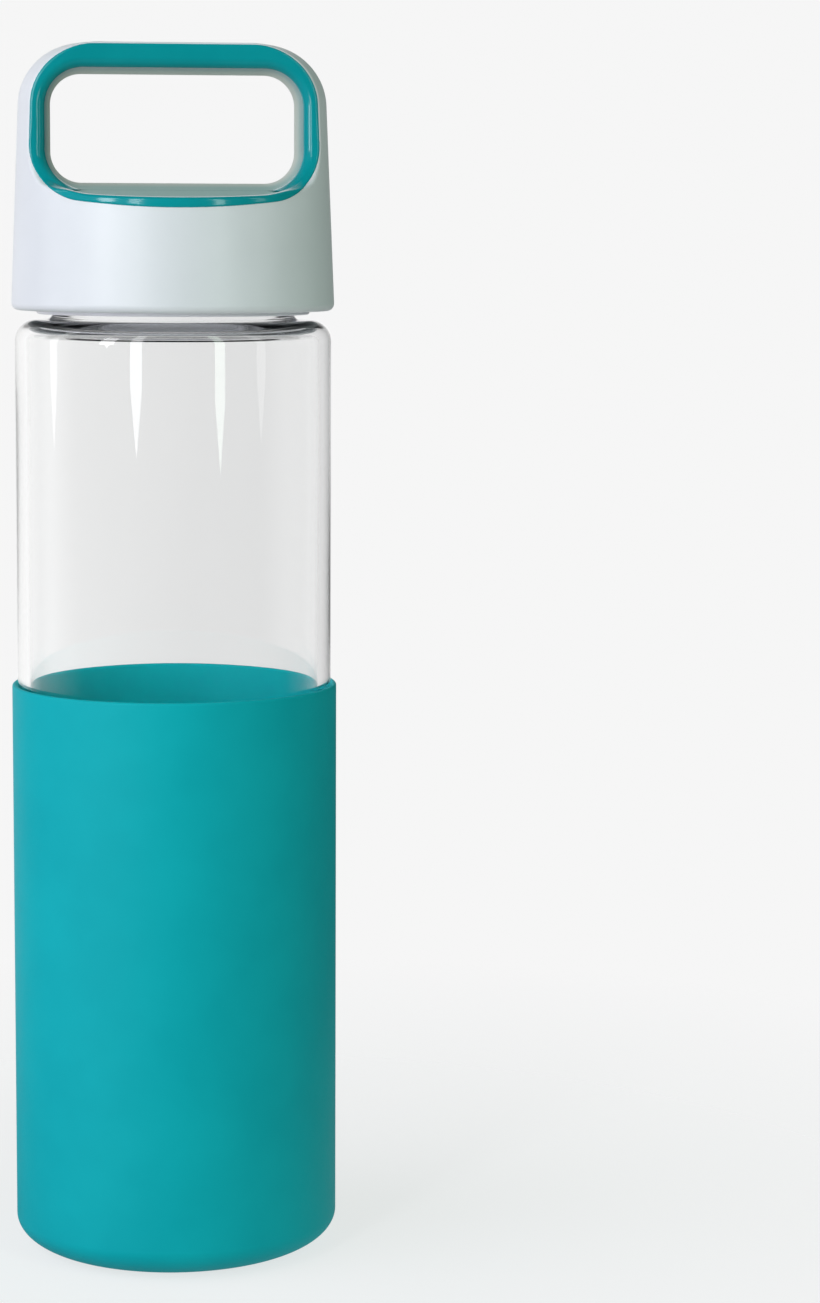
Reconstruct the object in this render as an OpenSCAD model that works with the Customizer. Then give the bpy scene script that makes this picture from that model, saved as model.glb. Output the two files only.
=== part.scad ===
// Glass water bottle: a glass bottle in a silicone sleeve, closed by a screw lid whose top is a carry
// loop edged with a coloured trim ring on each side. Millimetres, +Z up, the front of the loop faces -Y.
// The origin is the centre of the face that the bottle stands on.

/* [Silicone sleeve] */
// Outer diameter of the sleeve
sleeve_d = 70; // [68:0.5:74]
// Height of the sleeve's rim above the table
sleeve_h = 123.8; // [90:0.2:150]
// Thickness of the sleeve's wall
sleeve_wall = 1.1; // [0.8:0.1:1.6]
// Thickness of the sleeve's floor
sleeve_floor = 1.6; // [1:0.1:2.5]
// Gap all round between the sleeve and the glass
sleeve_gap = 0.15; // [0.1:0.05:0.3]

/* [Glass bottle] */
// Height of the shoulder, where the body ends and the neck starts
shoulder_z = 202; // [195:0.5:210]
// Radius of the shoulder's outer curve
shoulder_r = 4.5; // [4:0.5:7]
// Thickness of the glass wall
glass_wall = 2.6; // [2:0.1:3.2]
// Thickness of the glass floor
glass_floor = 4; // [3:0.5:6]
// How far the middle of the glass floor is pushed up
punt = 1.2; // [0.5:0.1:2]
// How far in from the side the rounded bottom edge reaches
foot_w = 12; // [8:0.5:15]
// How high up the side the rounded bottom edge reaches
foot_h = 5.5; // [4:0.5:7]
// Outer diameter of the neck between its threads
neck_d = 51.6; // [50:0.2:52]
// Inner diameter of the mouth
mouth_d = 46.4; // [45:0.2:47]
// Height of the neck above the shoulder
neck_h = 19; // [18:0.5:20]

/* [Screw thread] */
// Rise of the thread in one turn
pitch = 5; // [4.6:0.1:5.4]
// Number of turns on the neck and in the lid
turns = 1.5; // [1.2:0.1:1.6]
// Height of a thread above its wall
thread_depth = 1.4; // [1.2:0.1:1.5]
// Clearance between a thread's crest and the wall that it faces
crest_gap = 0.4; // [0.3:0.1:0.5]

/* [Lid shell] */
// Outer diameter of the lid at its lower edge
lid_d = 68.8; // [68:0.2:70]
// Outer diameter of the lid where its top starts to round over
lid_top_d = 65.4; // [64:0.2:67]
// Height of the lid from its lower edge to its top
lid_h = 55.9; // [54:0.1:60]
// Gap between the glass shoulder and the lid's lower edge
lid_gap = 2; // [1:0.1:2.5]
// Radius of the rounded top edge, seen from the front
crown_r = 12.5; // [11:0.5:15]
// Radius of the rounded lower edge
hem_r = 1.6; // [1:0.2:2.2]
// Thickness of the skirt around the neck
skirt_wall = 2.4; // [2:0.1:2.6]
// Number of ribs inside the skirt
rib_count = 12; // [6:2:18]

/* [Carry loop] */
// Depth of the loop from its front face to its back face
loop_depth = 25; // [22:0.5:28]
// Clear width of the loop's opening at its waist
opening_w = 51.8; // [48:0.2:53]
// Clear height of the loop's opening at its waist
opening_h = 22.8; // [20:0.2:23]
// Thickness of the loop above the opening
bar_t = 6.2; // [6:0.1:8]
// Corner radius of the opening at its waist
opening_r = 6.5; // [5:0.5:8]
// How far the opening's sides widen from the waist to the front face
flare_side = 1.5; // [1:0.1:2.5]
// How far the opening's floor drops from the waist to the lip
flare_floor = 3.4; // [2.5:0.1:3.8]

/* [Trim rings] */
// Thickness of a trim ring
trim_t = 1.8; // [1:0.1:2]
// Height of a trim ring at the lip, below the opening's floor
trim_lip = 1.9; // [1.2:0.1:2]

/* [Lid liner and gasket] */
// Thickness of the liner's threaded wall
liner_wall = 1.5; // [1.3:0.1:1.6]
// Thickness of the liner's top
liner_top = 1.8; // [1.4:0.1:2]
// Gap between the glass shoulder and the liner's lower edge
liner_gap = 1.2; // [0.5:0.1:1.5]
// Thickness of the gasket
gasket_t = 1.85; // [1.6:0.05:2]
// Depth of the ring that holds the gasket and enters the mouth
plug_h = 4; // [3:0.5:5]

/* [Hidden] */
eps = 0.01;
big = 100;
$fn = 96;
arc_steps = 8;
rest_gap = 0.1;      // between the glass and what it rests on or seals against
ring_gap = 0.4;      // between the gasket's edges and the liner

sleeve_r = sleeve_d / 2;
sleeve_in_r = sleeve_r - sleeve_wall;
rim_round = 0.5;

glass_r = sleeve_in_r - sleeve_gap;
glass_in_r = glass_r - glass_wall;
glass_z0 = sleeve_floor + rest_gap;
neck_r = neck_d / 2;
mouth_r = mouth_d / 2;
mouth_z = shoulder_z + neck_h;
inner_shoulder_z = shoulder_z - glass_wall;
inner_shoulder_r = shoulder_r - glass_wall;
rim_r = 1.1;
neck_fillet = 1.4;
punt_edge = 6;       // width of the slope from the punt down to the foot

thread_base = 1.1;   // half the thread's width at its root
thread_crest = 0.6;  // half its width at its crest
thread_seat = 0.8;   // how deep its root runs into the wall
thread_step = 10;    // degrees from one ring of points to the next
run_out = 3;         // rings over which an end fades into the wall
neck_crest_r = neck_r + thread_depth;
liner_in_r = neck_crest_r + crest_gap;
liner_crest_r = neck_r + crest_gap;
thread_z = shoulder_z + pitch;

lid_r = lid_d / 2;
lid_top_r = lid_top_d / 2;
lid_z0 = shoulder_z + lid_gap;
lid_z1 = lid_z0 + lid_h;
crown_z = lid_z1 - crown_r;
loop_y = loop_depth / 2;
opening_z1 = lid_z1 - bar_t;
opening_z0 = opening_z1 - opening_h;
lip_y = lid_r - 1;    // where the opening's floor meets the lid's side
floor_slope = flare_floor / lip_y;
flare_top = 0.9;     // how far the opening's top rises from the waist to the front face
side_slope = flare_side / loop_y;
top_slope = flare_top / loop_y;
front_r0 = 12;       // corner radii of the flared opening beyond the lip, below and above
front_r1 = 10.5;
scoop_rise = 9;      // from the waist's floor to where the loop's front face starts
scoop_w = lip_y - loop_y;
scoop_z1 = opening_z0 + scoop_rise;
scoop_h = scoop_z1 - (opening_z0 - flare_floor - trim_lip);
scoop_steps = 12;
trim_r1 = 11;        // corner radii of a trim ring's outline, at the top and at the lip
trim_r0 = 10.5;
trim_top = 0.4;      // white edge left above a trim ring

liner_r = liner_in_r + liner_wall;
liner_z0 = shoulder_z + liner_gap;
gasket_gap = 0.05;   // between the gasket and the liner above it
liner_ceiling = mouth_z + rest_gap + gasket_t + gasket_gap;
liner_z1 = liner_ceiling + liner_top;
plug_gap = 0.9;      // between the plug ring and the mouth
plug_r = mouth_r - plug_gap;
plug_wall = 1.4;
cavity_taper = 0.6;
cavity_r0 = lid_r - skirt_wall;
cavity_r1 = cavity_r0 - cavity_taper;
flange_r = cavity_r1;
rib_t = 1.2;
rib_gap = 0.3;       // between a rib and the liner
rib_z0 = lid_z0 + 3;
rib_z1 = liner_z1 - liner_top - 0.4;

// A quarter ellipse about c from angle a0 to angle a1, with half-axes w and h.
function arc(c, w, h, a0, a1) =
    [for (i = [0:arc_steps]) let (a = a0 + (a1 - a0) * i / arc_steps)
        [c[0] + w * cos(a), c[1] + h * sin(a)]];

// Rounded bottom edge of the glass, made larger by grow for the sleeve around it.
function foot(grow) =
    arc([glass_r - foot_w, glass_z0 + foot_h], foot_w + grow, foot_h + grow, -90, 0);

// Height of the opening's floor at a distance y in front of the waist.
function floor_z(y) = opening_z0 - floor_slope * y;

// Lower edge of the scoop in front of the loop: a quarter ellipse that runs out into the floor.
function scoop_z(y) =
    max(floor_z(y), scoop_z1 - scoop_h * sqrt(max(0, 1 - pow((lip_y - y) / scoop_w, 2))));

// A helical ridge. Its section has half-widths w0 at radius r0 and w1 at radius r1, and the crest
// is the one of the two radii that fades at both ends.
module helix(r0, w0, r1, w1, fade_to, crest_outside) {
    n = ceil(turns * 360 / thread_step);
    function fade(i) = min(1, i / run_out, (n - i) / run_out);
    function radius(r, is_crest, i) = is_crest ? fade_to + (r - fade_to) * fade(i) : r;
    points = [for (i = [0:n]) let (a = i * thread_step, z = pitch * a / 360,
                                   p = radius(r0, !crest_outside, i), q = radius(r1, crest_outside, i))
        each [[p * cos(a), p * sin(a), z - w0], [q * cos(a), q * sin(a), z - w1],
              [q * cos(a), q * sin(a), z + w1], [p * cos(a), p * sin(a), z + w0]]];
    sides = [for (i = [0:n - 1], j = [0:3]) let (k = (j + 1) % 4)
        each [[4 * i + j, 4 * i + k, 4 * i + 4 + k], [4 * i + j, 4 * i + 4 + k, 4 * i + 4 + j]]];
    ends = [[3, 2, 1, 0], [4 * n, 4 * n + 1, 4 * n + 2, 4 * n + 3]];
    polyhedron(points, concat(sides, ends), convexity = 6);
}

// Outline in the XZ plane: half-width w, from z0 to z1, corner radii r0 below and r1 above.
module rounded_outline(w, z0, z1, r0, r1) {
    polygon(concat(arc([w - r1, z1 - r1], r1, r1, 0, 90), arc([r1 - w, z1 - r1], r1, r1, 90, 180),
                   arc([r0 - w, z0 + r0], r0, r0, 180, 270), arc([w - r0, z0 + r0], r0, r0, 270, 360)));
}

// The children's XZ outline as a slab from y to y + depth.
module slab(y, depth) {
    translate([0, y + depth, 0]) rotate([90, 0, 0]) linear_extrude(depth) children();
}

module silicone_sleeve() {
    base = arc([sleeve_r - foot_w, foot_h + sleeve_floor], foot_w, foot_h + sleeve_floor, -90, 0);
    rim = arc([sleeve_r - rim_round, sleeve_h - rim_round], rim_round, rim_round, 0, 90);
    inside = foot(sleeve_gap);
    color("darkturquoise") rotate_extrude()
        polygon(concat([[0, 0]], base, rim, [[sleeve_in_r, sleeve_h]],
                       [for (i = [arc_steps:-1:0]) inside[i]], [[0, inside[0][1]]]));
}

module glass_profile() {
    floor_in = glass_z0 + glass_floor;
    outer = concat([[0, glass_z0 + punt], [glass_r - foot_w - punt_edge, glass_z0 + punt]], foot(0),
        arc([glass_r - shoulder_r, shoulder_z - shoulder_r], shoulder_r, shoulder_r, 0, 90),
        arc([neck_r + neck_fillet, shoulder_z + neck_fillet], neck_fillet, neck_fillet, 270, 180),
        arc([neck_r - rim_r, mouth_z - rim_r], rim_r, rim_r, 0, 90));
    inner = concat(arc([mouth_r + rim_r, mouth_z - rim_r], rim_r, rim_r, 90, 180),
        arc([mouth_r + neck_fillet, inner_shoulder_z + neck_fillet], neck_fillet, neck_fillet, 180, 270),
        arc([glass_in_r - inner_shoulder_r, inner_shoulder_z - inner_shoulder_r],
            inner_shoulder_r, inner_shoulder_r, 90, 0),
        arc([glass_in_r - foot_w, floor_in + foot_h], foot_w, foot_h, 0, -90), [[0, floor_in]]);
    polygon(concat(outer, inner));
}

module glass_bottle() {
    color("lightcyan", 0.4) union() {
        rotate_extrude() glass_profile();
        translate([0, 0, thread_z]) helix(neck_r - thread_seat, thread_base, neck_crest_r,
                                          thread_crest, neck_r - crest_gap, true);
    }
}

module lid_gasket() {
    z0 = mouth_z + rest_gap;
    color("whitesmoke") rotate_extrude()
        translate([plug_r + ring_gap, z0]) square([liner_in_r - plug_r - 2 * ring_gap, gasket_t]);
}

module lid_liner() {
    color("lavender") union() {
        rotate_extrude() polygon([
            [liner_in_r, liner_z0], [liner_r, liner_z0], [liner_r, liner_z1 - liner_top],
            [flange_r, liner_z1 - liner_top], [flange_r, liner_z1], [0, liner_z1], [0, liner_ceiling],
            [plug_r - plug_wall, liner_ceiling], [plug_r - plug_wall, liner_ceiling - plug_h],
            [plug_r, liner_ceiling - plug_h], [plug_r, liner_ceiling], [liner_in_r, liner_ceiling]]);
        translate([0, 0, thread_z + pitch / 2]) helix(liner_crest_r, thread_crest,
            liner_in_r + thread_seat, thread_base, liner_in_r + crest_gap, false);
    }
}

// The lid's body of revolution, with its sides and top moved in by inset.
module lid_blank(inset) {
    rotate_extrude() polygon(concat([[0, lid_z0]],
        arc([lid_r - hem_r - inset, lid_z0 + hem_r], hem_r, hem_r, -90, 0),
        arc([lid_top_r - crown_r, crown_z], crown_r - inset, crown_r - inset, 0, 90),
        [[0, lid_z1 - inset]]));
}

// What is cut away in front of the loop: beyond its front face, and above the curve down to the lip.
module scoop(inset) {
    y0 = loop_y - inset;
    points = [for (i = [0:scoop_steps]) let (y = y0 + scoop_w * i / scoop_steps) [y, scoop_z(y + inset)]];
    edge = [for (p = points) [-p[0], max(p[1], floor_z(p[0]))]];
    rotate([90, 0, 90]) linear_extrude(big, center = true)
        polygon(concat([[-y0, lid_z1 + big]], edge, [[-big, floor_z(big)], [-big, lid_z1 + big]]));
}

// The opening through the loop, which widens from its waist to the front.
module opening_front() {
    reach = lid_r + 2;
    hull() {
        slab(-eps, 2 * eps)
            rounded_outline(opening_w / 2, opening_z0, opening_z1, opening_r, opening_r);
        slab(-reach, eps) rounded_outline(opening_w / 2 + side_slope * reach, floor_z(reach),
                                          opening_z1 + top_slope * reach, front_r0, front_r1);
    }
}

// The lid's outer form with the loop cut free at the front and at the back.
module lid_form(inset) {
    difference() {
        lid_blank(inset);
        scoop(inset);
        mirror([0, 1, 0]) scoop(inset);
    }
}

// A front trim ring's own space: the skin of the lid around the opening's front edge.
module trim_zone() {
    difference() {
        slab(-big, big - trim_t) rounded_outline(sqrt(pow(lid_top_r, 2) - pow(loop_y, 2)),
            floor_z(lip_y) - trim_lip, lid_z1 - trim_top, trim_r0, trim_r1);
        lid_form(trim_t);
    }
}

module lid_shell() {
    color("ghostwhite") difference() {
        union() {
            difference() {
                lid_form(0);
                translate([0, 0, lid_z0 - eps])
                    cylinder(h = liner_z1 - lid_z0 + eps, r1 = cavity_r0, r2 = cavity_r1);
            }
            for (i = [0:rib_count - 1]) rotate(i * 360 / rib_count)
                translate([liner_r + rib_gap, -rib_t / 2, rib_z0])
                    cube([cavity_r1 - liner_r + rib_gap, rib_t, rib_z1 - rib_z0]);
        }
        for (side = [0, 1]) mirror([0, side, 0]) {
            opening_front();
            trim_zone();
        }
    }
}

module trim_ring() {
    color("teal") difference() {
        intersection() {
            lid_form(0);
            trim_zone();
        }
        opening_front();
    }
}

module trim_ring_front() {
    trim_ring();
}

module trim_ring_back() {
    mirror([0, 1, 0]) trim_ring();
}

silicone_sleeve();
glass_bottle();
lid_gasket();
lid_liner();
lid_shell();
trim_ring_front();
trim_ring_back();
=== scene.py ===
import math

import bpy
import numpy as np
from mathutils import Matrix, Vector


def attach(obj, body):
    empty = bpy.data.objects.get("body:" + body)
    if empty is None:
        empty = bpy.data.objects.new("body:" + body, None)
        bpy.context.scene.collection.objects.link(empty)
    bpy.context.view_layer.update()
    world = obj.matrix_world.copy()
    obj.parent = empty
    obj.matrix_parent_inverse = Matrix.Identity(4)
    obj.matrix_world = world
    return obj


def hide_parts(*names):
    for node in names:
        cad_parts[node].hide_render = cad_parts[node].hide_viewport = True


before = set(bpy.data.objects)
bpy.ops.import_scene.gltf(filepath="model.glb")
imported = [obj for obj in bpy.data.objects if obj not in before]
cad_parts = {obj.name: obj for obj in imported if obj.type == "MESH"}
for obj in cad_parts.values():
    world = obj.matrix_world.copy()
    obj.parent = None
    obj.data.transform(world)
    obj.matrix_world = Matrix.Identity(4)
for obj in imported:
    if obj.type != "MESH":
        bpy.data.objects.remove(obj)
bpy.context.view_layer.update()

MM = 0.001

# ---------------------------------------------------------------- sizes, in millimetres, as in the CAD
SLEEVE_R, SLEEVE_H, SLEEVE_WALL, SLEEVE_FLOOR = 34.98, 123.8, 1.1, 1.6
SLEEVE_GAP = 0.15  # between the sleeve and the glass
FOOT_W, FOOT_H = 12.0, 5.5  # the rounded edge at the bottom of the glass, a quarter ellipse
GLASS_R, GLASS_WALL, GLASS_Z0, GLASS_FLOOR, PUNT = 33.75, 2.6, 1.7, 4.0, 1.2
SHOULDER_Z, SHOULDER_R = 202.0, 4.5
NECK_R, MOUTH_R, MOUTH_Z, NECK_FILLET, RIM_R = 25.8, 23.2, 221.0, 1.4, 1.1
PITCH, TURNS, THREAD_Z, THREAD_DEPTH = 5.0, 1.5, 207.0, 1.4
THREAD_HALF, THREAD_FLANK = 1.15, 0.6  # half of the thread's width, and the width of its flank
LID_R, LID_TOP_R, LID_Z0, LID_Z1, CROWN_R, HEM_R = 34.4, 32.7, 204.0, 259.9, 12.5, 1.6
LOOP_Y, LIP_Y = 12.5, 33.4  # the loop's face at the top, and the floor's outer edge
OPEN_W, OPEN_Z0, OPEN_Z1, OPEN_R = 25.9, 230.9, 253.7, 6.5  # the loop's opening in the middle plane
LIP_Z = 227.5  # the opening's floor falls to here at the lip
SCOOP_Z1, SCOOP_Z0 = 239.9, 225.5
TRIM_T, TRIM_PROUD = 1.8, 0.2
TRIM_W, TRIM_Z1, TRIM_R0, TRIM_R1 = 30.45, 259.65, 10.0, 11.0
LINER_R, LINER_IN, LINER_Z0, LINER_Z1, LINER_CEILING = 29.1, 27.6, 203.2, 224.8, 223.0
FLANGE_R, PLUG_R, PLUG_WALL, PLUG_H = 31.4, 22.3, 1.4, 4.0
CAVITY_R0, CAVITY_R1 = 32.0, 31.4
RIBS, RIB_R, RIB_HALF = 12, 33.0, 0.6
GASKET_R0, GASKET_R1, GASKET_Z0, GASKET_Z1, GASKET_CORNER = 22.7, 27.2, 221.1, 222.95, 0.45


# ---------------------------------------------------------------- mesh tools
def make_piece(name, points, faces, body, node, material, normals=None):
    """A smooth mesh from points in millimetres, riding on a body in place of a CAD node."""
    mesh = bpy.data.meshes.new(name)
    mesh.from_pydata((points * MM).tolist(), [], faces)
    mesh.validate()
    mesh.update()
    mesh.polygons.foreach_set("use_smooth", [True] * len(mesh.polygons))
    if normals is not None:
        mesh.normals_split_custom_set_from_vertices(normals.tolist())
    piece = bpy.data.objects.new(name, mesh)
    bpy.context.scene.collection.objects.link(piece)
    mesh.materials.append(material)
    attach(piece, body)
    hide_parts(node)
    return piece


def arc(cx, cz, w, h, a0, a1, n):
    """n + 1 points of an ellipse with half-axes w and h, from a0 to a1 degrees."""
    a = np.radians(np.linspace(a0, a1, n + 1))
    return np.c_[cx + w * np.cos(a), cz + h * np.sin(a)]


def fill_in(path, step):
    """The path with points added where two of them are further apart than step."""
    out = [path[:1]]
    for a, b in zip(path[:-1], path[1:]):
        n = max(1, math.ceil(np.linalg.norm(b - a) / step - 1e-6))
        out.append(a + (b - a) * np.linspace(0, 1, n + 1)[1:, None])
    return np.concatenate(out)


def revolve(path, n, closed=False, change=None):
    """Turns a path of (r, z) round the axis in n steps. An open path starts and ends on the axis.

    change(r, z, angle) gives new radii.
    """
    theta = np.linspace(0, 2 * np.pi, n, endpoint=False)
    rows = path if closed else path[1:-1]
    r = np.repeat(rows[:, :1], n, 1)
    z = np.repeat(rows[:, 1:], n, 1)
    t = np.repeat(theta[None], len(rows), 0)
    if change:
        r = change(r, z, t)
    points = np.stack([r * np.cos(t), r * np.sin(t), z], -1).reshape(-1, 3)
    i = np.arange(len(rows) if closed else len(rows) - 1)[:, None]
    j = np.arange(n)[None]
    k, m = (i + 1) % len(rows), (j + 1) % n
    quads = np.stack([i * n + j, i * n + m, k * n + m, k * n + j], -1).reshape(-1, 4).tolist()
    if not closed:
        first, last = len(points), len(points) + 1
        points = np.concatenate([points, [[0, 0, path[0, 1]], [0, 0, path[-1, 1]]]])
        base = (len(rows) - 1) * n
        quads += [[first, (c + 1) % n, c] for c in range(n)]
        quads += [[last, base + c, base + (c + 1) % n] for c in range(n)]
    return points, quads


def ease(x, lo, hi):
    """0 below lo, 1 above hi, and a smooth step between them."""
    t = np.clip((x - lo) / (hi - lo), 0, 1)
    return t * t * (3 - 2 * t)


def thread(z, t, start):
    """How much of a thread's full height stands at height z and angle t."""
    height = np.zeros_like(z)
    for turn in (0, 1):
        phi = t + 2 * np.pi * turn
        away = np.abs(z - start - PITCH * phi / (2 * np.pi))
        fade = np.clip(np.minimum(phi, TURNS * 2 * np.pi - phi) / 0.5, 0, 1)
        height = np.maximum(height, ease(THREAD_HALF - away, 0, THREAD_FLANK) * fade)
    return height


# ---------------------------------------------------------------- solids given by a distance
def meet(a, b, r):
    """Where both are negative, with the edge between them rounded to radius r."""
    return np.minimum(np.maximum(a, b), -r) + np.hypot(np.maximum(a + r, 0), np.maximum(b + r, 0))


def join(a, b, r):
    """Where either is negative, with the corner between them filled to radius r."""
    return np.maximum(np.minimum(a, b), r) - np.hypot(np.maximum(r - a, 0), np.maximum(r - b, 0))


def rounded_box(x, z, w, z0, z1, r0, r1):
    """Distance to an outline of half-width w from z0 to z1, with corner radii r0 below and r1 above."""
    middle, half = (z0 + z1) / 2, (z1 - z0) / 2
    r = np.where(z > middle, r1, r0)
    qx, qz = np.abs(x) - w + r, np.abs(z - middle) - half + r
    return np.hypot(np.maximum(qx, 0), np.maximum(qz, 0)) + np.minimum(np.maximum(qx, qz), 0) - r


SIDE_A = math.atan((LID_R - LID_TOP_R) / (LID_Z1 - CROWN_R - LID_Z0 - HEM_R))


def blank(x, y, z):
    """The lid as a body of revolution."""
    side = (np.hypot(x, y) - LID_R) * math.cos(SIDE_A) + (z - LID_Z0 - HEM_R) * math.sin(SIDE_A)
    return meet(meet(side, z - LID_Z1, CROWN_R), LID_Z0 - z, HEM_R)


def floor_z(y):
    """Height of the opening's floor, which falls from the middle plane to the lip."""
    return OPEN_Z0 - (OPEN_Z0 - LIP_Z) / LIP_Y * y


def scoop(y, z):
    """Distance to the curve from the loop's face down to the lip, negative on the solid's side."""
    w, h = LIP_Y - LOOP_Y, SCOOP_Z1 - SCOOP_Z0
    u, v = np.maximum((LIP_Y - y) / w, 0), np.maximum((SCOOP_Z1 - z) / h, 0)
    q = np.hypot(u, v)
    slope = np.hypot(u / w, v / h) / np.maximum(q, 1e-6)
    return np.where(q > 1e-3, (1 - q) / np.maximum(slope, 1e-3), h)


def form(x, y, z, rise=0.5):
    """The lid without its holes.

    The loop's face runs down the scoop into a floor that stands rise above the opening's.
    """
    a = np.abs(y)
    slope_cos, fillet, edge = 0.995, 2.0, 0.5
    cut = join(scoop(a, z), (z - floor_z(a) - rise) * slope_cos, fillet)
    return meet(blank(x, y, z), cut, edge)


def opening(x, y, z):
    """The loop's opening. It widens and its corners grow rounder with the distance from the middle plane."""
    soften, stretch = 1.5, 1.047
    a = (np.sqrt(y * y + soften * soften) - soften) * stretch
    share = a / 36.6
    return rounded_box(x, z, OPEN_W + 0.12 * a, floor_z(a), OPEN_Z1 + 0.1 * a,
                       OPEN_R + 6.5 * share, OPEN_R + 6 * share)


def trim_outline(x, y, z):
    """The rings' outer edge: a rounded rectangle with a curved bottom, inside the lid's side near the top."""
    rise = 0.0032 * x * x
    flat = rounded_box(x, z, TRIM_W, SCOOP_Z0 - 0.1 + rise, TRIM_Z1, TRIM_R0, TRIM_R1)
    past_side = 6 * (1 - ease(z, 235, 240))
    return meet(flat, blank(x, y, z) + 0.12 - past_side, 0.3)


def skin(x, y, z, t):
    """Negative within t of the loop's face, the scoop and the lid's side, but not under the floor."""
    a = np.abs(y)
    inner = np.maximum(blank(x, y, z) + t, np.minimum(scoop(a + t, z), z - floor_z(a) - 0.1))
    return -inner


def trim(x, y, z):
    """The front ring. Away from the lip it stops below the floor, so that no film of it lies on the shell."""
    rise = ease(blank(x, y, z), -TRIM_T - 1.5, -TRIM_T) - 0.5
    inner_edge = 0.65 + 1.25 * ease(z, 229, 236)
    d = meet(form(x, y, z, rise) - TRIM_PROUD, trim_outline(x, y, z), 0.5)
    d = meet(d, -(opening(x, y, z) + 0.05), inner_edge)
    only_front = y + 6
    return np.maximum(np.maximum(d, skin(x, y, z, TRIM_T)), only_front)


def shell_rib(r, x, y, z):
    """The ribs between the shell's skirt and the liner."""
    sector = 2 * math.pi / RIBS
    angle = (np.arctan2(y, x) + sector / 2) % sector - sector / 2
    along, across = r * np.cos(angle), r * np.sin(angle)
    rib = np.maximum(np.maximum(LINER_R + 0.35 - along, along - RIB_R), np.abs(across) - RIB_HALF)
    return np.maximum(rib, np.maximum(LID_Z0 + 3 - z, z - LINER_Z1 + 2.2))


def shell(x, y, z):
    """The lid's shell, with the liner's cavity and the ribs in it, and a groove for each ring."""
    r = np.hypot(x, y)
    d = meet(form(x, y, z), -opening(x, y, z), 0.5)
    cavity_r = CAVITY_R0 + (CAVITY_R1 - CAVITY_R0) * (z - LID_Z0) / (LINER_Z1 - LID_Z0)
    d = meet(d, -meet(r - cavity_r, z - LINER_Z1, 0.3), 0.4)
    d = join(d, shell_rib(r, x, y, z), 0.35)
    groove = np.maximum(trim_outline(x, y, z) + 0.8, skin(x, y, z, TRIM_T - 0.15))
    return np.maximum(d, -groove)


def surface(solid, lo, hi, step, relax=3):
    """Points, quads and normals of a distance function's surface, one point in each grid cell it crosses."""
    axes = [np.arange(a, b + step, step) for a, b in zip(lo, hi)]
    value = np.concatenate([solid(*np.meshgrid(part, axes[1], axes[2], indexing="ij"))
                            for part in np.array_split(axes[0], 8)])
    value[value == 0] = 1e-6
    inside = value < 0
    n = [len(a) - 1 for a in axes]
    corners = [(a, b, c) for a in (0, 1) for b in (0, 1) for c in (0, 1)]
    count = sum(inside[a:a + n[0], b:b + n[1], c:c + n[2]].astype(np.int8) for a, b, c in corners)
    cells = np.argwhere((count > 0) & (count < 8))
    index = np.full(n, -1)
    index[tuple(cells.T)] = np.arange(len(cells))
    at = np.stack([value[cells[:, 0] + a, cells[:, 1] + b, cells[:, 2] + c] for a, b, c in corners], 1)
    total, hits = np.zeros((len(cells), 3)), np.zeros((len(cells), 1))
    for p in range(8):
        for q in range(p + 1, 8):
            if sum(u != v for u, v in zip(corners[p], corners[q])) == 1:
                crosses = (at[:, p] < 0) != (at[:, q] < 0)
                share = np.where(crosses, at[:, p] / np.where(crosses, at[:, p] - at[:, q], 1), 0)[:, None]
                place = np.array(corners[p]) + share * (np.array(corners[q]) - np.array(corners[p]))
                total += np.where(crosses[:, None], place, 0)
                hits += crosses[:, None]
    points = np.array(lo) + (cells + total / hits) * step
    quads = []
    for axis in range(3):
        one, two = (axis + 1) % 3, (axis + 2) % 3
        low = [slice(1, -1)] * 3
        low[axis] = slice(0, -1)
        high = list(low)
        high[axis] = slice(1, None)
        a, b = inside[tuple(low)], inside[tuple(high)]
        for flip, found in ((False, a & ~b), (True, ~a & b)):
            base = np.argwhere(found) + 1
            base[:, axis] -= 1
            ring = []
            for d1, d2 in ((-1, -1), (0, -1), (0, 0), (-1, 0)):
                cell = base.copy()
                cell[:, one] += d1
                cell[:, two] += d2
                ring.append(index[tuple(cell.T)])
            quads.append(np.stack(ring[::-1] if flip else ring, 1))
    quads = np.concatenate(quads)
    sides = np.concatenate([quads[:, [k, (k + 1) % 4]] for k in range(4)])
    edges = np.unique(np.sort(sides, 1), axis=0)

    def gradient(p, e=0.02):
        g = np.stack([solid(*(p + np.eye(3)[i] * e).T) - solid(*(p - np.eye(3)[i] * e).T)
                      for i in range(3)], 1) / (2 * e)
        return g / np.maximum(np.linalg.norm(g, axis=1, keepdims=True), 1e-6)

    def settle(p, times):
        for _ in range(times):
            p = p - gradient(p) * np.clip(solid(*p.T), -step / 2, step / 2)[:, None]
        return p

    points = settle(points, 3)
    for _ in range(relax):
        mean, number = np.zeros_like(points), np.zeros((len(points), 1))
        for a, b in ((0, 1), (1, 0)):
            np.add.at(mean, edges[:, a], points[edges[:, b]])
            np.add.at(number, edges[:, a], 1)
        points = settle(points + 0.5 * (mean / number - points), 1)
    points = settle(points, 1)
    return points, quads, gradient(points, 0.05)


# ---------------------------------------------------------------- materials
def nodes_of(name):
    """A new material, its tree, its shader and the place in the object, in metres."""
    material = bpy.data.materials.new(name)
    material.use_nodes = True
    tree = material.node_tree
    shader = next(n for n in tree.nodes if n.type == "BSDF_PRINCIPLED")
    place = tree.nodes.new("ShaderNodeTexCoord").outputs["Object"]
    return material, tree, shader, place


def feed(tree, socket, value):
    """Sets a socket to a number or a tuple, or links it to another node's output."""
    if isinstance(value, bpy.types.NodeSocket):
        tree.links.new(value, socket)
    else:
        socket.default_value = value


def maths(tree, operation, *values):
    node = tree.nodes.new("ShaderNodeMath")
    node.operation = operation
    for socket, value in zip(node.inputs, values):
        feed(tree, socket, value)
    return node.outputs["Value"]


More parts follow.
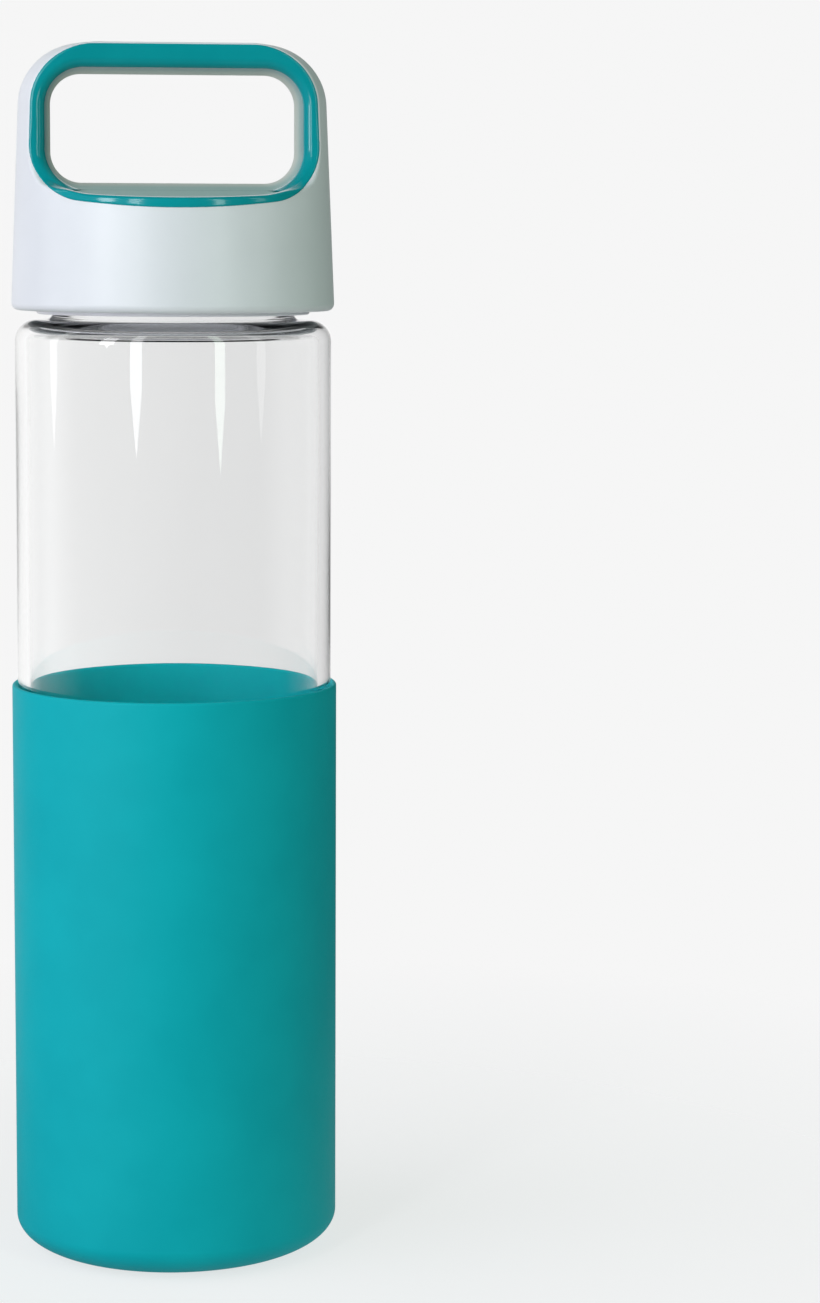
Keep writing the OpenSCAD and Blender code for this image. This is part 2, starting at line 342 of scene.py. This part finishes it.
def vectors(tree, operation, *values):
    node = tree.nodes.new("ShaderNodeVectorMath")
    node.operation = operation
    for socket, value in zip(node.inputs, values):
        feed(tree, socket, value)
    return node.outputs["Value" if operation in ("LENGTH", "DOT_PRODUCT") else "Vector"]


def xyz(tree, vector):
    node = tree.nodes.new("ShaderNodeSeparateXYZ")
    tree.links.new(vector, node.inputs[0])
    return node.outputs["X"], node.outputs["Y"], node.outputs["Z"]


def noise(tree, place, scale, detail=4.0, rough=0.55, stretch=(1, 1, 1)):
    """A noise value whose scale is features per millimetre."""
    mapping = tree.nodes.new("ShaderNodeMapping")
    mapping.inputs["Scale"].default_value = stretch
    tree.links.new(place, mapping.inputs["Vector"])
    node = tree.nodes.new("ShaderNodeTexNoise")
    node.inputs["Scale"].default_value = scale / MM
    node.inputs["Detail"].default_value = detail
    node.inputs["Roughness"].default_value = rough
    tree.links.new(mapping.outputs["Vector"], node.inputs["Vector"])
    return node.outputs["Fac"]


def ramp(tree, value, lo, hi, out_lo, out_hi):
    node = tree.nodes.new("ShaderNodeMapRange")
    for key, number in (("From Min", lo), ("From Max", hi), ("To Min", out_lo), ("To Max", out_hi)):
        node.inputs[key].default_value = number
    tree.links.new(value, node.inputs["Value"])
    return node.outputs["Result"]


def mix_colours(tree, value, a, b):
    """A colour from a to b, each of them three numbers or another node's output."""
    node = tree.nodes.new("ShaderNodeMix")
    node.data_type = "RGBA"
    tree.links.new(value, node.inputs["Factor"])
    for key, colour in (("A", a), ("B", b)):
        feed(tree, node.inputs[key], (*colour, 1) if isinstance(colour, tuple) else colour)
    return node.outputs["Result"]


def bump(tree, shader, value, distance, before=None):
    """Adds a bump of that height in millimetres, on top of the one before."""
    node = tree.nodes.new("ShaderNodeBump")
    node.inputs["Distance"].default_value = distance * MM
    node.inputs["Strength"].default_value = 1.0
    tree.links.new(value, node.inputs["Height"])
    if before:
        tree.links.new(before, node.inputs["Normal"])
    tree.links.new(node.outputs["Normal"], shader.inputs["Normal"])
    return node.outputs["Normal"]


def specks(tree, place, scale, size):
    """Small round dots scattered in one cell out of several."""
    cells = tree.nodes.new("ShaderNodeTexVoronoi")
    cells.inputs["Scale"].default_value = scale / MM
    tree.links.new(place, cells.inputs["Vector"])
    dot = ramp(tree, cells.outputs["Distance"], size, size * 0.5, 0, 1)
    split = tree.nodes.new("ShaderNodeSeparateColor")
    tree.links.new(cells.outputs["Color"], split.inputs["Color"])
    chosen = ramp(tree, split.outputs["Red"], 0.90, 0.97, 0, 1)
    return maths(tree, "MULTIPLY", dot, chosen)


def silicone():
    """Matt teal silicone with faint clouds, a little dust and a fine grain."""
    material, tree, shader, place = nodes_of("teal_silicone")
    cloud = ramp(tree, noise(tree, place, 0.05, 3), 0.35, 0.65, 0, 1)
    base = mix_colours(tree, cloud, (0.000, 0.400, 0.440), (0.001, 0.430, 0.468))
    dusty = mix_colours(tree, specks(tree, place, 0.11, 0.03), base, (0.18, 0.50, 0.52))
    tree.links.new(dusty, shader.inputs["Base Color"])
    fine = noise(tree, place, 2.2, 3, 0.6)
    tree.links.new(ramp(tree, fine, 0.3, 0.7, 0.50, 0.60), shader.inputs["Roughness"])
    wide = bump(tree, shader, noise(tree, place, 0.06, 2), 0.25)
    bump(tree, shader, fine, 0.012, before=wide)
    shader.inputs["IOR"].default_value = 1.43
    shader.inputs["Specular IOR Level"].default_value = 0.12
    return material


def glass():
    """Clear glass with faint smudges. Shadow rays pass through it nearly unchanged."""
    material, tree, shader, place = nodes_of("clear_glass")
    shader.inputs["Base Color"].default_value = (0.995, 0.998, 0.998, 1)
    shader.inputs["Transmission Weight"].default_value = 1.0
    shader.inputs["IOR"].default_value = 1.5
    smudge = noise(tree, place, 0.04, 5, 0.6)
    tree.links.new(ramp(tree, smudge, 0.45, 0.75, 0.0, 0.03), shader.inputs["Roughness"])
    bump(tree, shader, noise(tree, place, 0.05, 2, 0.4, (1, 1, 0.35)), 0.02)
    clear = tree.nodes.new("ShaderNodeBsdfTransparent")
    clear.inputs["Color"].default_value = (0.93, 0.94, 0.94, 1)
    path = tree.nodes.new("ShaderNodeLightPath")
    pick = tree.nodes.new("ShaderNodeMixShader")
    tree.links.new(path.outputs["Is Shadow Ray"], pick.inputs["Fac"])
    tree.links.new(shader.outputs["BSDF"], pick.inputs[1])
    tree.links.new(clear.outputs["BSDF"], pick.inputs[2])
    output = next(n for n in tree.nodes if n.type == "OUTPUT_MATERIAL")
    tree.links.new(pick.outputs["Shader"], output.inputs["Surface"])
    return material


def plastic(name, dark, light, rough, grain, ior=1.5, subsurface=0.0):
    """Moulded plastic: faint clouds in the colour, a fine grain and a slight unevenness of the wall."""
    material, tree, shader, place = nodes_of(name)
    cloud = ramp(tree, noise(tree, place, 0.07, 3), 0.35, 0.65, 0, 1)
    tree.links.new(mix_colours(tree, cloud, dark, light), shader.inputs["Base Color"])
    fine = noise(tree, place, 1.6, 3, 0.6)
    tree.links.new(ramp(tree, fine, 0.3, 0.7, rough - 0.03, rough + 0.03), shader.inputs["Roughness"])
    wide = bump(tree, shader, noise(tree, place, 0.08, 2), 0.08)
    bump(tree, shader, fine, grain, before=wide)
    shader.inputs["IOR"].default_value = ior
    if subsurface:
        shader.inputs["Subsurface Weight"].default_value = subsurface
        shader.inputs["Subsurface Radius"].default_value = (1, 1, 1)
        shader.inputs["Subsurface Scale"].default_value = 1.5 * MM
    return material


def lid_plastic():
    """White plastic. The walls of the loop's opening get painted shade and a painted teal reflection of the
    rings.
    """
    material = plastic("lid_plastic", (0.745, 0.780, 0.785), (0.765, 0.800, 0.805), 0.38, 0.004, 1.55, 0.12)
    tree = material.node_tree
    shader = next(n for n in tree.nodes if n.type == "BSDF_PRINCIPLED")
    place = next(n for n in tree.nodes if n.type == "TEX_COORD").outputs["Object"]
    white = shader.inputs["Base Color"].links[0].from_socket

    # Inside a rounded rectangle a little larger than the opening, seen from the front.
    bottom, top, half_width, corner = OPEN_Z0 - 4.5, OPEN_Z1 + 2.0, OPEN_W + 3.2, 12.0
    middle, half = (bottom + top) / 2, (top - bottom) / 2
    away = vectors(tree, "ABSOLUTE", vectors(tree, "SUBTRACT", place, (0, 0, middle * MM)))
    past = vectors(tree, "SUBTRACT", away, ((half_width - corner) * MM, 1, (half - corner) * MM))
    past = vectors(tree, "LENGTH", vectors(tree, "MAXIMUM", past, (0, 0, 0)))
    inside = ramp(tree, past, corner * MM, (corner - 0.3) * MM, 0, 1)

    # The painted shade and painted teal reflection deepen towards the rings; nearest the rings, above the
    # lip, they darken to a painted shadow.
    depth = xyz(tree, away)[1]
    deep = ramp(tree, depth, 2 * MM, 11 * MM, 0, 1)
    # painted shade with a painted teal reflection, not the plastic's own colour
    painted_shade_wall = mix_colours(tree, deep, (0.58, 0.64, 0.56), (0.17, 0.41, 0.365))
    close = ramp(tree, depth, 5 * MM, 11.5 * MM, 0, 1)
    above_lip = ramp(tree, xyz(tree, place)[2], 232 * MM, 238 * MM, 0, 1)
    painted_shade_wall = mix_colours(tree, maths(tree, "MULTIPLY", close, above_lip), painted_shade_wall, (0.02, 0.25, 0.27))
    tree.links.new(mix_colours(tree, inside, white, painted_shade_wall), shader.inputs["Base Color"])
    return material


# ---------------------------------------------------------------- the pieces
def foot(grow):
    """The rounded lower edge of the glass, or of the sleeve's inside around it."""
    return arc(GLASS_R - FOOT_W, GLASS_Z0 + FOOT_H, FOOT_W + grow, FOOT_H + grow, -90, 0, 20)


def build_sleeve():
    half_wall = SLEEVE_WALL / 2
    base = arc(SLEEVE_R - FOOT_W, FOOT_H + SLEEVE_FLOOR, FOOT_W, FOOT_H + SLEEVE_FLOOR, -90, 0, 24)
    rim = arc(SLEEVE_R - half_wall, SLEEVE_H - half_wall, half_wall, half_wall, 0, 180, 16)
    inside = foot(SLEEVE_GAP)[::-1]
    path = np.concatenate([[[0, 0]], base, rim, inside, [[0, inside[-1, 1]]]])
    points, faces = revolve(fill_in(path, 1.6), 224)
    make_piece("sleeve_skin", points, faces, "sleeve", "silicone_sleeve", silicone())


def build_glass():
    floor_in = GLASS_Z0 + GLASS_FLOOR
    inner_r, inner_z = GLASS_R - GLASS_WALL, SHOULDER_Z - GLASS_WALL
    outer = np.concatenate([
        [[0, GLASS_Z0 + PUNT], [10, GLASS_Z0 + PUNT * 0.9], [GLASS_R - FOOT_W - 4, GLASS_Z0 + PUNT * 0.35]],
        foot(0),
        arc(GLASS_R - SHOULDER_R, SHOULDER_Z - SHOULDER_R, SHOULDER_R, SHOULDER_R, 0, 90, 20),
        arc(NECK_R + NECK_FILLET, SHOULDER_Z + NECK_FILLET, NECK_FILLET, NECK_FILLET, 270, 180, 10)])
    neck = fill_in(np.array([outer[-1], [NECK_R, MOUTH_Z - RIM_R]]), 0.22)[1:-1]
    lip = arc(NECK_R - RIM_R, MOUTH_Z - RIM_R, RIM_R, RIM_R, 0, 180, 16)
    bend = SHOULDER_R - GLASS_WALL
    inner = np.concatenate([
        arc(MOUTH_R + NECK_FILLET, inner_z + NECK_FILLET, NECK_FILLET, NECK_FILLET, 180, 270, 10),
        arc(inner_r - bend, inner_z - bend, bend, bend, 90, 0, 16),
        arc(inner_r - FOOT_W, floor_in + FOOT_H, FOOT_W, FOOT_H, 0, -90, 20), [[0, floor_in]]])
    path = np.concatenate([fill_in(outer, 2.0), neck, lip, fill_in(inner, 2.0)])

    def change(r, z, t):
        """The thread on the neck, and slight waves in the inside of the wall."""
        on_neck = (np.abs(r - NECK_R) < 0.01) & (z > SHOULDER_Z + 1)
        r = np.where(on_neck, r + THREAD_DEPTH * thread(z, t, THREAD_Z), r)
        on_wall = (np.abs(r - inner_r) < 0.01) & (z < SHOULDER_Z - 4)
        wave = 0.03 * np.sin(2 * t + z / 31) + 0.02 * np.sin(5 * t - z / 17) + 0.015 * np.sin(z / 9 + t)
        return np.where(on_wall, r + wave * ease(z, 12, 30) * ease(SHOULDER_Z - 5 - z, 0, 15), r)

    points, faces = revolve(path, 256, change=change)
    make_piece("bottle_glass", points, faces, "bottle", "glass_bottle", glass())


def build_liner():
    plug_in, tip = PLUG_R - PLUG_WALL, LINER_CEILING - PLUG_H
    thread_wall = fill_in(np.array([[LINER_IN, LINER_CEILING - 0.4], [LINER_IN, LINER_Z0 + 0.5]]), 0.22)
    path = np.concatenate([
        [[0, LINER_Z1]], arc(FLANGE_R - 0.4, LINER_Z1 - 0.4, 0.4, 0.4, 90, 0, 6),
        arc(FLANGE_R - 0.3, LINER_Z1 - 1.5, 0.3, 0.3, 0, -90, 6),
        arc(LINER_R + 0.6, LINER_Z1 - 2.4, 0.6, 0.6, 90, 180, 8),
        arc(LINER_R - 0.5, LINER_Z0 + 0.4, 0.5, 0.4, 0, -90, 8),
        arc(LINER_IN + 0.4, LINER_Z0 + 0.4, 0.4, 0.4, 270, 180, 6), thread_wall[::-1],
        [[LINER_IN - 0.4, LINER_CEILING], [PLUG_R + 0.4, LINER_CEILING], [PLUG_R, LINER_CEILING - 0.4]],
        arc(PLUG_R - 0.6, tip + 0.6, 0.6, 0.6, 0, -90, 8),
        arc(plug_in + 0.4, tip + 0.4, 0.4, 0.4, 270, 180, 6),
        arc(plug_in - 0.8, LINER_CEILING - 0.8, 0.8, 0.8, 0, 90, 8), [[0, LINER_CEILING]]])
    path = fill_in(path, 1.8)

    def change(r, z, t):
        """The inside thread, half a pitch above the neck's."""
        on_wall = (np.abs(r - LINER_IN) < 0.01) & (z < LINER_CEILING - 0.3)
        return np.where(on_wall, r - THREAD_DEPTH * thread(z, t, THREAD_Z + PITCH / 2), r)

    points, faces = revolve(path, 224, change=change)
    faces = [f[::-1] for f in faces]  # this path runs from the top down
    material = plastic("liner_plastic", (0.88, 0.88, 0.93), (0.91, 0.91, 0.96), 0.30, 0.004, subsurface=0.25)
    make_piece("lid_liner_threaded", points, faces, "lid", "lid_liner", material)


def build_gasket():
    """A flat ring with rounded edges and a shallow groove in its top."""
    r0, r1, z0, z1, c = GASKET_R0, GASKET_R1, GASKET_Z0, GASKET_Z1, GASKET_CORNER
    middle, groove_half, groove_depth = (r0 + r1) / 2, 0.7, 0.35
    path = np.concatenate([
        arc(r1 - c, z0 + c, c, c, -90, 0, 6), arc(r1 - c, z1 - c, c, c, 0, 90, 6),
        [[middle + groove_half, z1], [middle, z1 - groove_depth], [middle - groove_half, z1]],
        arc(r0 + c, z1 - c, c, c, 90, 180, 6), arc(r0 + c, z0 + c, c, c, 180, 270, 6)])
    points, faces = revolve(path, 192, closed=True)
    material = plastic("clear_silicone", (0.72, 0.74, 0.75), (0.78, 0.80, 0.81), 0.42, 0.006, 1.41, 0.5)
    make_piece("gasket_ring", points, faces, "seal", "lid_gasket", material)


def build_lid():
    """The shell and both rings. Each is meshed inside a box given by its lower and upper corner."""
    step = 0.5
    points, quads, normals = surface(shell, (-35.2, -35.2, 203.3), (35.2, 35.2, 260.6), step)
    make_piece("lid_cap", points, quads.tolist(), "lid", "lid_shell", lid_plastic(), normals)

    step = 0.3
    points, quads, normals = surface(trim, (-31.2, -34.6, 225.0), (31.2, -9.4, 260.0), step)
    material = plastic("teal_plastic", (0.001, 0.290, 0.315), (0.002, 0.315, 0.340), 0.13, 0.002)
    make_piece("trim_front", points, quads.tolist(), "lid", "trim_ring_front",
               material, normals)
    turned = np.array([-1, -1, 1])
    make_piece("trim_back", points * turned, quads.tolist(), "lid", "trim_ring_back",
               material, normals * turned)


# ---------------------------------------------------------------- stage, light and camera
BACKDROP = (0.921,) * 3                # the plain background
ROOM = (0.190, 0.250, 0.222)           # what lights the bottle from every side,
FLOOR_LIGHT = (0.55, 0.57, 0.57)       # from below,
KEY_LIGHT = (2.25, 2.15, 2.50)         # and from one wide light
KEY_AIM = (-0.868, -0.419, 0.266)      # to the left, in front and a little above
DIM = (0.025, 0.028, 0.028)            # what shiny faces mirror from the front,
DIM_LEFT = (0.12, 0.125, 0.13)         # and from the left
CLEAR_LEFT = (0.99,) * 3               # what shows through the glass towards -X
CLEAR_RIGHT = (0.875,) * 3             # and towards +X
UNLIT = (0.03,) * 3                    # what it shows after a mirrored ray has turned to the front
FLOOR_FADE = (0.06, 0.30)              # metres from the axis, between which the floor fades out

SOFTBOX_DISTANCE = 1.0
SOFTBOX_TAPER = 0.035                  # height over which a softbox's lower end comes to a point

CAMERA_AZIMUTH = -2.0                  # degrees round the bottle from its front, towards +X
CAMERA_DISTANCE = 0.740
CAMERA_HEIGHT = 0.2193
CAMERA_PITCH = 6.845                   # degrees below the horizon
CAMERA_YAW = 3.948                     # the bottle stands left of the picture's middle
CAMERA_ROLL = 0.25
LENS = 94.9


def shader_mix(tree, factor, off, on):
    node = tree.nodes.new("ShaderNodeMixShader")
    tree.links.new(factor, node.inputs["Fac"])
    tree.links.new(off, node.inputs[1])
    tree.links.new(on, node.inputs[2])
    return node.outputs[0]


def floor_material():
    """A pale floor, brighter to the right for the light it gives off, and clear far out and from below."""
    material = bpy.data.materials.new("floor")
    material.use_nodes = True
    tree = material.node_tree
    tree.nodes.clear()
    place = tree.nodes.new("ShaderNodeTexCoord").outputs["Object"]
    path = tree.nodes.new("ShaderNodeLightPath")
    seen = maths(tree, "MAXIMUM", path.outputs["Is Camera Ray"], path.outputs["Is Transmission Ray"])

    diffuse = tree.nodes.new("ShaderNodeBsdfDiffuse")
    tree.links.new(ramp(tree, seen, 0, 1, 0.25, 0.30), diffuse.inputs["Color"])
    strength = tree.nodes.new("ShaderNodeMix")
    strength.data_type = "FLOAT"
    tree.links.new(seen, strength.inputs["Factor"])
    tree.links.new(ramp(tree, xyz(tree, place)[0], -0.08, 0.10, 0.12, 0.56), strength.inputs["A"])
    strength.inputs["B"].default_value = 0.70
    glow = tree.nodes.new("ShaderNodeEmission")
    glow.inputs["Color"].default_value = (1, 1, 1, 1)
    tree.links.new(strength.outputs["Result"], glow.inputs["Strength"])
    both = tree.nodes.new("ShaderNodeAddShader")
    tree.links.new(diffuse.outputs[0], both.inputs[0])
    tree.links.new(glow.outputs[0], both.inputs[1])

    clear = tree.nodes.new("ShaderNodeBsdfTransparent").outputs[0]
    fade = ramp(tree, vectors(tree, "LENGTH", place), *FLOOR_FADE, 0, 1)
    from_below = tree.nodes.new("ShaderNodeNewGeometry").outputs["Backfacing"]
    surface_out = shader_mix(tree, maths(tree, "MAXIMUM", fade, from_below), both.outputs[0], clear)
    output = tree.nodes.new("ShaderNodeOutputMaterial")
    tree.links.new(surface_out, output.inputs["Surface"])
    return material


def build_stage():
    bpy.ops.mesh.primitive_circle_add(vertices=96, radius=1.5, fill_type="NGON", location=(0, 0, -0.0001))
    floor = bpy.context.object
    floor.name = "floor"
    floor.data.materials.append(floor_material())


def facing(tree, direction, aim, lo, hi):
    """1 where a direction is close to aim, 0 where it is far."""
    return ramp(tree, vectors(tree, "DOT_PRODUCT", direction, Vector(aim).normalized()), lo, hi, 0, 1)


def build_world():
    """A plain backdrop, a room that lights the bottle, and a dimmer one for shiny faces to mirror."""
    world = bpy.data.worlds.new("studio")
    bpy.context.scene.world = world
    world.use_nodes = True
    tree = world.node_tree
    tree.nodes.clear()
    direction = tree.nodes.new("ShaderNodeTexCoord").outputs["Generated"]
    path = tree.nodes.new("ShaderNodeLightPath").outputs

    def background(colour):
        node = tree.nodes.new("ShaderNodeBackground")
        feed(tree, node.inputs["Color"], (*colour, 1) if isinstance(colour, tuple) else colour)
        return node.outputs[0]

    # Diffuse faces are lit by the room, the floor and the key light.
    below = facing(tree, direction, (0, 0, -1), 0.1, 0.6)
    room = mix_colours(tree, below, ROOM, FLOOR_LIGHT)
    key = facing(tree, direction, KEY_AIM, 0.66, 1.0)
    lit = background(mix_colours(tree, key, room, KEY_LIGHT))

    # Shiny faces mirror a dim room with the backdrop behind the bottle.
    left = facing(tree, direction, (-1, 0.3, 0.1), 0.55, 1.0)
    dim = background(mix_colours(tree, left, DIM, DIM_LEFT))
    backdrop_side = facing(tree, direction, (-0.35, 1, 0), 0.72, 0.92)
    gloss = shader_mix(tree, backdrop_side, dim, background(BACKDROP))

    # The glass is clear from every side, but a ray that it has mirrored finds the front unlit.
    across = facing(tree, direction, (1, 0, 0), -0.07, 0.05)
    clear = background(mix_colours(tree, across, CLEAR_LEFT, CLEAR_RIGHT))
    behind = facing(tree, direction, (-0.12, 1, 0), -0.1, 0.4)
    turned = shader_mix(tree, behind, background(UNLIT), clear)
    straight = maths(tree, "LESS_THAN", path["Glossy Depth"], 0.5)
    through = shader_mix(tree, straight, turned, clear)

    shader = shader_mix(tree, path["Is Glossy Ray"], lit, gloss)
    shader = shader_mix(tree, path["Is Transmission Ray"], shader, through)
    shader = shader_mix(tree, path["Is Camera Ray"], shader, background(BACKDROP))
    output = tree.nodes.new("ShaderNodeOutputWorld")
    tree.links.new(shader, output.inputs["Surface"])


def add_softbox(name, azimuth, bottom, size, watts, colour=(1, 1, 1), diffuse=False):
    """An upright softbox. Azimuth 0 is in front of the bottle and grows towards +X."""
    data = bpy.data.lights.new(name, "AREA")
    data.shape = "RECTANGLE"
    data.size, data.size_y = size
    data.energy = watts
    data.color = colour
    light = bpy.data.objects.new(name, data)
    bpy.context.scene.collection.objects.link(light)
    a = math.radians(azimuth)
    x, y = SOFTBOX_DISTANCE * math.sin(a), -SOFTBOX_DISTANCE * math.cos(a)
    light.location = (x, y, bottom + size[1] / 2)
    light.rotation_euler = Vector((-x, -y, 0)).to_track_quat("-Z", "Y").to_euler()
    light.visible_transmission = False
    light.visible_diffuse = diffuse

    # Its lower end narrows to a point, so that its reflection does too.
    data.use_nodes = True
    tree = data.node_tree
    emission = next(n for n in tree.nodes if n.type == "EMISSION")
    u, v, _ = xyz(tree, tree.nodes.new("ShaderNodeNewGeometry").outputs["Parametric"])
    half_width = ramp(tree, v, 0, SOFTBOX_TAPER / size[1], 0, 0.5)
    tree.links.new(maths(tree, "COMPARE", u, 0.5, half_width), emission.inputs["Strength"])


def add_camera():
    data = bpy.data.cameras.new("camera")
    camera = bpy.data.objects.new("camera", data)
    bpy.context.scene.collection.objects.link(camera)
    data.sensor_fit = "AUTO"
    data.sensor_width = 36.0
    data.lens = LENS
    data.clip_start, data.clip_end = 0.01, 20
    a = math.radians(CAMERA_AZIMUTH)
    camera.location = (CAMERA_DISTANCE * math.sin(a), -CAMERA_DISTANCE * math.cos(a), CAMERA_HEIGHT)
    heading = a - math.radians(CAMERA_YAW)
    turn = (Matrix.Rotation(heading, 4, "Z") @ Matrix.Rotation(math.radians(90 - CAMERA_PITCH), 4, "X")
            @ Matrix.Rotation(math.radians(CAMERA_ROLL), 4, "Z"))
    camera.rotation_euler = turn.to_euler()
    bpy.context.scene.camera = camera


build_sleeve()
build_glass()
build_liner()
build_gasket()
build_lid()
build_stage()
build_world()
add_softbox("left_softbox", -28.5, 0.112, (0.15, 1.1), 2.9, (0.97, 0.98, 1.0), diffuse=True)
add_softbox("right_softbox", 31, 0.105, (0.13, 1.1), 2.3, (0.86, 1.0, 0.89), diffuse=True)
add_softbox("high_softbox", -50, 0.19, (0.20, 0.6), 3.0, (0.98, 0.98, 1.0))
add_softbox("left_fill", -97, 0.115, (0.13, 1.1), 1.0)
add_softbox("right_fill", 63, 0.118, (0.13, 1.1), 0.7)
add_camera()

scene = bpy.context.scene
scene.view_settings.view_transform = "Standard"
scene.view_settings.look = "None"
